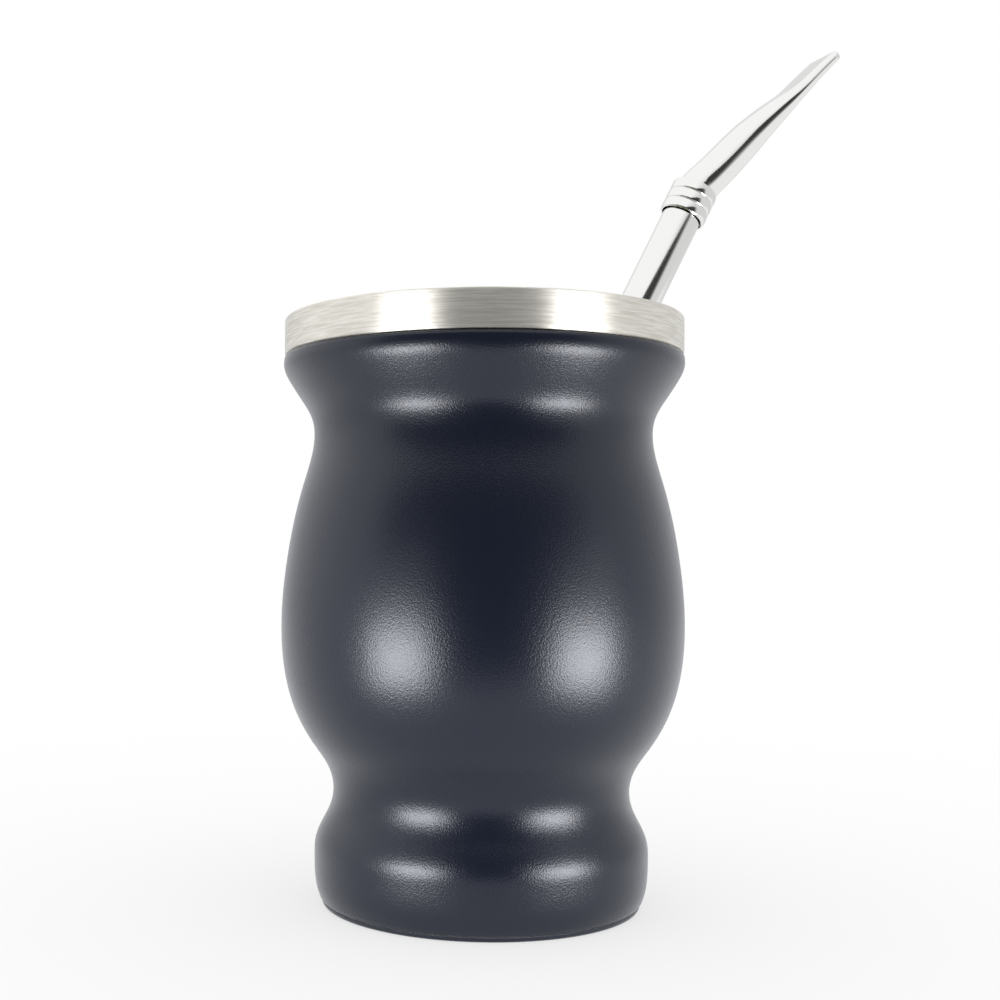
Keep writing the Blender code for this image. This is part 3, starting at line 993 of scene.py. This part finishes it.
wear(rim_liner, brushed_steel())
bright = polished_steel()
for part in (straw_tube, straw_collar, straw_mouthpiece):
    wear(part, bright)
print("steel:", rim_liner.active_material.name, "and", bright.name)

# %% [markdown]
# ## Leaf, stem, drink and froth
# Yerba mate is dried over heat, cut and sieved, so leaf, stem and dust keep their own colours. One tree
# serves all three: a tint that each piece carries, a mottle of about 1 mm, and a darker, glossier colour
# near the level of the drink.

# %% Leaf, stem, drink and froth
# Mate leaf, cut and dried: dull olive chips, mottled at the 0.9 mm of real leaf, which darken and shine when
# they are wet. Mate infusion: hot water poured over the leaf, a cloudy olive that hides what is under it.
# Mate froth: bubbles that the poured water leaves, paler than the drink and glossy.
LEAF_MOTTLE = 0.9 * MM
LEAF_RELIEF = 0.15 * MM
SOAKED_HEIGHT = 2.2 * MM
SOAKED_ROUGHNESS = 0.30
CLOUD_SIZE = 7.0 * MM


def leaf_finish(name, dry, other, wet, roughness):
    """Cut leaf: two dry colours by tint, and darker and glossier where it stands in the water."""
    material, tree = new_finish(name)
    place = add(tree, "ShaderNodeTexCoord")
    height = add(tree, "ShaderNodeSeparateXYZ", {"Vector": place.outputs["Object"]})
    mottle = add(tree, "ShaderNodeTexNoise", {"Vector": place.outputs["Object"], "Scale": 1 / LEAF_MOTTLE,
                                              "Detail": 3.0})
    soaked = add(tree, "ShaderNodeMapRange", {
        "Value": height.outputs["Z"], "From Min": INFUSION_LEVEL,
        "From Max": INFUSION_LEVEL + SOAKED_HEIGHT, "To Min": 1.0, "To Max": 0.0})
    tint = add(tree, "ShaderNodeAttribute", attribute_name="tint")
    share = add(tree, "ShaderNodeMath", {0: tint.outputs["Fac"], 1: mottle.outputs["Fac"]},
                operation="MULTIPLY")
    colour = add(tree, "ShaderNodeMix", {"Factor": share.outputs["Value"], "A": linear(dry),
                                         "B": linear(other)}, data_type="RGBA")
    colour = add(tree, "ShaderNodeMix", {"Factor": soaked.outputs["Result"], "B": linear(wet),
                                         "A": colour.outputs["Result"]}, data_type="RGBA")
    gloss = add(tree, "ShaderNodeMapRange", {"Value": soaked.outputs["Result"], "To Min": roughness,
                                             "To Max": SOAKED_ROUGHNESS})
    bump = add(tree, "ShaderNodeBump", {"Height": mottle.outputs["Fac"], "Strength": 0.5,
                                        "Distance": LEAF_RELIEF})
    shader = add(tree, "ShaderNodeBsdfPrincipled", {
        "Base Color": colour.outputs["Result"], "Roughness": gloss.outputs["Result"],
        "Normal": bump.outputs["Normal"]})
    output(tree, shader)
    return material


def drink_finish():
    material, tree = new_finish("mate_infusion_cloudy")
    place = add(tree, "ShaderNodeTexCoord")
    cloud = add(tree, "ShaderNodeTexNoise", {"Vector": place.outputs["Object"], "Scale": 1 / CLOUD_SIZE,
                                             "Detail": 3.0})
    colour = add(tree, "ShaderNodeMix", {"Factor": cloud.outputs["Fac"], "A": linear("5B5A1E"),
                                         "B": linear("77702C")}, data_type="RGBA")
    shader = add(tree, "ShaderNodeBsdfPrincipled", {
        "Base Color": colour.outputs["Result"], "Roughness": 0.05, "IOR": 1.33})
    output(tree, shader)
    return material


def froth_finish():
    material, tree = new_finish("mate_froth")
    tint = add(tree, "ShaderNodeAttribute", attribute_name="tint")
    colour = add(tree, "ShaderNodeMix", {"Factor": tint.outputs["Fac"], "A": linear("A8A65A"),
                                         "B": linear("D2CF9A")}, data_type="RGBA")
    shader = add(tree, "ShaderNodeBsdfPrincipled", {
        "Base Color": colour.outputs["Result"], "Roughness": 0.12, "IOR": 1.33})
    output(tree, shader)
    return material


leaf = leaf_finish("mate_leaf_cut_and_dried", "8C8B4E", "4E5A28", "2E3214", 0.8)
wear(leaf_bed, leaf)
wear(leaf_shards, leaf)
wear(leaf_dust, leaf_finish("mate_leaf_dust", "A09E62", "7C7E42", "3B3E1A", 0.9))
wear(leaf_stems, leaf_finish("mate_stem_dried", "B59A62", "8A7440", "5A4A22", 0.7))
wear(infusion_pool, drink_finish())
wear(froth, froth_finish())

# %% [markdown]
# ## Floor
# The cup stands on white paper whose material glows by itself, a painted glow like the table of a
# photographer's tent lit from below, though no lamp is under it. The painted glow fills in the shadow, so
# only a faint shadow stays under the foot. Further out the glow takes over, and the paper meets the white
# room without a line.

# %% Floor
FLOOR_SIZE = 6.0
# Share of the painted glow in the paper near the cup, and the reach over which it rises to all of the paper
GLOW_NEAR = 0.62
GLOW_FROM = 60 * MM
GLOW_TO = 400 * MM


def make_floor():
    pick_nothing()
    bpy.ops.mesh.primitive_plane_add(size=FLOOR_SIZE, location=(0, 0, 0))
    floor = bpy.context.object
    floor.name = "floor"
    material, tree = new_finish("white_paper_painted_glow")
    place = add(tree, "ShaderNodeTexCoord")
    reach = add(tree, "ShaderNodeVectorMath", {0: place.outputs["Object"]}, operation="LENGTH")
    glow = add(tree, "ShaderNodeMapRange", {"Value": reach.outputs["Value"], "From Min": GLOW_FROM,
                                            "From Max": GLOW_TO, "To Min": GLOW_NEAR, "To Max": 1.0},
               interpolation_type="SMOOTHSTEP")
    paper = add(tree, "ShaderNodeBsdfDiffuse", {"Color": linear("FCFCFC")})
    # Painted glow: the paper gives off white light itself; no lamp lights it from below
    lamp = add(tree, "ShaderNodeEmission", {"Color": linear("FFFFFF"), "Strength": 1.0})
    mixed = add(tree, "ShaderNodeMixShader", {0: glow.outputs["Result"], 1: paper.outputs["BSDF"],
                                              2: lamp.outputs["Emission"]})
    add(tree, "ShaderNodeOutputMaterial", {"Surface": mixed.outputs["Shader"]})
    wear(floor, material)
    floor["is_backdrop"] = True


make_floor()
print("floor of white paper,", FLOOR_SIZE, "m across")

# %% [markdown]
# ## Soft boxes
# The photo's coat shows two patches of light on the belly and again on the neck and the foot, so two soft
# boxes stand near the cup, one to each side of the camera. Each has a second, far weaker light above it, so
# that it fades out at its top. The boxes light the cup alone, so that they cast no shadow on the paper.

# %% Soft boxes
BOX_AWAY = 155 * MM
BOX_WIDE = 80 * MM
BOX_SIDES = {"left": -40, "right": 51}
# Height of the middle, height of the light itself and power in watts
BOX_PARTS = {"box": (27 * MM, 55 * MM, 0.215), "fade": (79 * MM, 48 * MM, 0.010)}


def soft_box(name, azimuth, height, tall, power):
    """A rectangular light that faces the cup; azimuth 0 is the camera's side, plus is to its right."""
    data = bpy.data.lights.new(name, "AREA")
    data.shape = "RECTANGLE"
    data.size = BOX_WIDE
    data.size_y = tall
    data.energy = power
    lamp = bpy.data.objects.new(name, data)
    bpy.context.scene.collection.objects.link(lamp)
    side = math.radians(azimuth)
    lamp.location = (BOX_AWAY * math.sin(side), -BOX_AWAY * math.cos(side), height)
    aim = Vector((0, 0, height)) - lamp.location
    lamp.rotation_euler = aim.to_track_quat("-Z", "Y").to_euler()
    lamp.visible_camera = False
    lamp.light_linking.receiver_collection = lit


lit = bpy.data.collections.new("lit_by_boxes")
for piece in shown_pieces():
    lit.objects.link(piece)
for side_name, azimuth in BOX_SIDES.items():
    for part_name, (height, tall, power) in BOX_PARTS.items():
        soft_box(part_name + "_" + side_name, azimuth, height, tall, power)

# %% [markdown]
# ## Tent
# The steel mirrors the whole room, so the room needs walls. A dome of white cloth stands round the table.
# It is brightest at the upper left, where the photo's straw is white, and greyer on the other side. Only
# mirror-like reflections see it, so it can't change the white ground.

# %% Tent
TENT_RADIUS = 1.5
TENT_BRIGHT_SIDE = (-0.5, -0.3, 0.8)
TENT_GREY = 0.80
TENT_WHITE = 1.14
TENT_EDGE = (0.22, 0.62)
TENT_SIDES = 48
TENT_RINGS = 24


def reflected_only(thing):
    """Leave a stage piece to mirror-like reflections, so that the camera and the shadows miss it."""
    thing.visible_camera = thing.visible_diffuse = thing.visible_shadow = False
    thing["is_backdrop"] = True


def make_tent():
    """A white dome round the table, lit from the left above the camera and greyer elsewhere."""
    pick_nothing()
    bpy.ops.mesh.primitive_uv_sphere_add(radius=TENT_RADIUS, segments=TENT_SIDES, ring_count=TENT_RINGS)
    tent = bpy.context.object
    tent.name = "photo_tent"
    material, tree = new_finish("tent_cloth_white")
    place = add(tree, "ShaderNodeTexCoord")
    toward = add(tree, "ShaderNodeVectorMath", {0: place.outputs["Object"], 1: TENT_BRIGHT_SIDE},
                 operation="DOT_PRODUCT")
    cloth = add(tree, "ShaderNodeMapRange", {"Value": toward.outputs["Value"],
                                             "From Min": TENT_EDGE[0] * TENT_RADIUS, "To Min": TENT_GREY,
                                             "From Max": TENT_EDGE[1] * TENT_RADIUS, "To Max": TENT_WHITE})
    lamp = add(tree, "ShaderNodeEmission", {"Strength": cloth.outputs["Result"]})
    add(tree, "ShaderNodeOutputMaterial", {"Surface": lamp.outputs["Emission"]})
    wear(tent, material)
    reflected_only(tent)


make_tent()
print("tent of", TENT_RADIUS, "m, from", TENT_GREY, "to", TENT_WHITE, "times white")

# %% [markdown]
# ## Dark card
# The straw has one dark stripe, and the middle of the band and of the foot is dark too. All three are the
# opening behind which the camera stands. A dark card near the cup takes its place, and its left and right
# edges fade so that the stripes end softly.

# %% Dark card
CARD_AWAY = 173 * MM
CARD_HIGH = 226 * MM
CARD_LEFT = (-330 * MM, -250 * MM)
CARD_RIGHT = (215 * MM, 400 * MM)
CARD_DARK = 0.045


def make_dark_card():
    """The dark room behind the camera, as a card near the cup whose left and right edges fade out."""
    pick_nothing()
    bpy.ops.mesh.primitive_plane_add(size=1.0, rotation=(math.radians(90), 0, 0))
    card = bpy.context.object
    card.name = "tent_opening"
    bpy.ops.object.transform_apply(rotation=True)
    for vert in card.data.vertices:
        vert.co = (CARD_LEFT[0] if vert.co.x < 0 else CARD_RIGHT[1], -CARD_AWAY,
                   CARD_HIGH if vert.co.z > 0 else 0.0)
    material, tree = new_finish("dark_room")
    place = add(tree, "ShaderNodeTexCoord")
    where = add(tree, "ShaderNodeSeparateXYZ", {"Vector": place.outputs["Object"]})
    left = add(tree, "ShaderNodeMapRange", {"Value": where.outputs["X"], "From Min": CARD_LEFT[0],
                                            "From Max": CARD_LEFT[1]}, interpolation_type="SMOOTHSTEP")
    right = add(tree, "ShaderNodeMapRange", {"Value": where.outputs["X"], "From Min": CARD_RIGHT[1],
                                             "From Max": CARD_RIGHT[0]}, interpolation_type="SMOOTHSTEP")
    there = add(tree, "ShaderNodeMath", {0: left.outputs["Result"], 1: right.outputs["Result"]},
                operation="MULTIPLY")
    clear = add(tree, "ShaderNodeBsdfTransparent")
    dark = add(tree, "ShaderNodeEmission", {"Strength": CARD_DARK})
    mixed = add(tree, "ShaderNodeMixShader", {0: there.outputs["Value"], 1: clear.outputs["BSDF"],
                                              2: dark.outputs["Emission"]})
    add(tree, "ShaderNodeOutputMaterial", {"Surface": mixed.outputs["Shader"]})
    wear(card, material)
    reflected_only(card)


make_dark_card()
print("dark card", round(CARD_AWAY / MM), "mm in front,", round(CARD_HIGH / MM), "mm high")

# %% [markdown]
# ## White room
# The world is an even white. It is the ground of the picture, and it lights the cup from all round.

# %% White room
world = bpy.data.worlds.new("studio")
bpy.context.scene.world = world
world.use_nodes = True
sky = world.node_tree.nodes["Background"]
sky.inputs["Color"].default_value = linear("FFFFFF")
sky.inputs["Strength"].default_value = 1.0
